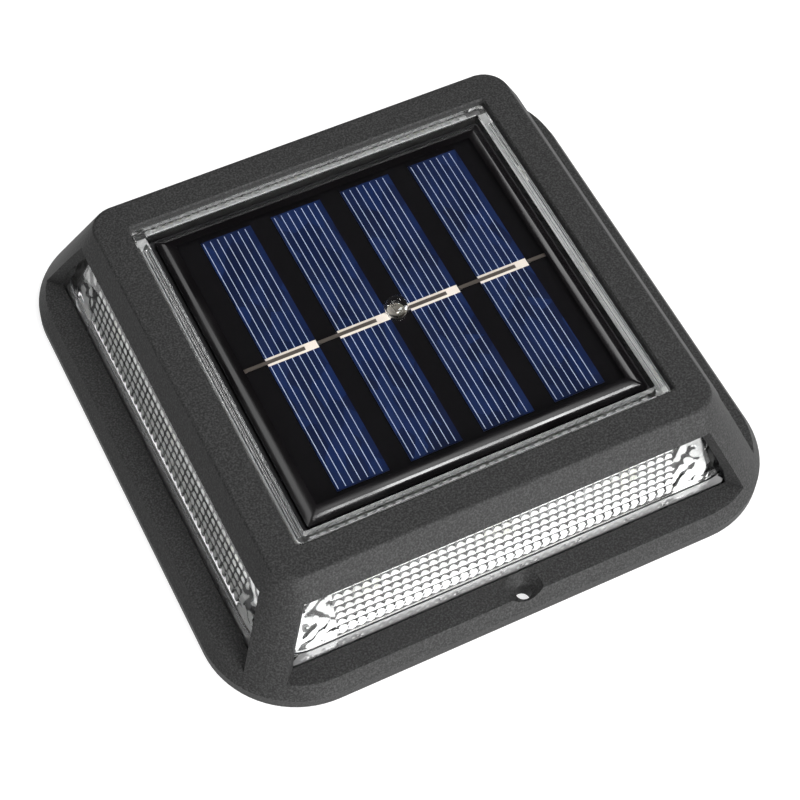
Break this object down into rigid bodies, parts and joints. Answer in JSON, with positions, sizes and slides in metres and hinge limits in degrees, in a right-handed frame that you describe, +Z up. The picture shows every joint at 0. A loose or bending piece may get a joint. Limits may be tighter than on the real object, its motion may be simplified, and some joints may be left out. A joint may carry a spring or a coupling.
{
  "type": "solar path light",
  "caption": "Low square solar light with a dark frame, clear beaded lens showing through side windows, solar panel on top and fixing holes in the base.",
  "frame": {"origin": "centre of the base, on the surface that it stands on", "axes": "+Z up out of the solar panel; the two fixing holes lie along Y; X across them"},
  "size_m": [0.12, 0.12, 0.0275],
  "materials": {
    "frame": "fine-textured dark grey ABS",
    "lens": "clear prismatic polycarbonate",
    "foam": "black foam tape",
    "panel_board": "black board",
    "cell": "blue silicon, fine mottled",
    "ribbon": "tinned copper, dull",
    "resin": "clear domed resin",
    "sensor": "clear",
    "reflector": "white",
    "circuit_board": "white solder mask",
    "led": "white housing with yellow phosphor",
    "steel": "plated steel",
    "chip": "black epoxy",
    "ferrite": "dark ferrite with copper winding",
    "capacitor": "dark blue sleeve",
    "battery": "green sleeve, plain steel ends",
    "black_plastic": "black",
    "contact": "nickel plated",
    "lead_red": "red insulation",
    "lead_black": "black insulation",
    "button": "off-white",
    "boot": "dark grey silicone",
    "cover": "black ABS, fine texture",
    "seal": "grey silicone"
  },
  "bodies": {
    "housing": {"frame": "frame", "lens": "lens", "panel_gasket": "foam", "panel_board": "panel_board", "solar_cell_1": "cell", "solar_cell_2": "cell", "solar_cell_3": "cell", "solar_cell_4": "cell", "cell_ribbon_1": "ribbon", "cell_ribbon_2": "ribbon", "cell_ribbon_3": "ribbon", "cell_ribbon_4": "ribbon", "cell_ribbon_5": "ribbon", "panel_resin": "resin", "light_sensor": "sensor", "reflector": "reflector", "reflector_tray": "reflector", "led_board": "circuit_board", "leds": "led", "board_screws": "steel", "driver_chip": "chip", "inductor": "ferrite", "capacitor": "capacitor", "battery": "battery", "battery_holder": "black_plastic", "contact_plate": "contact", "contact_spring": "contact", "panel_lead_red": "lead_red", "panel_lead_black": "lead_black", "battery_lead_red": "lead_red", "battery_lead_black": "lead_black", "switch_body": "black_plastic", "switch_boot": "boot", "bottom_cover": "cover", "cover_seal": "seal", "cover_screws": "steel"},
    "button": {"switch_button": "button"}
  },
  "joints": [
    {"name": "button_press", "type": "slide", "parent": "housing", "child": "button", "axis": [0, 0, 1], "range_m": [0, 0.0015], "stiffness_N_per_m": 400, "springref_m": -0.0008, "deforming": ["switch_boot"]}
  ]
}
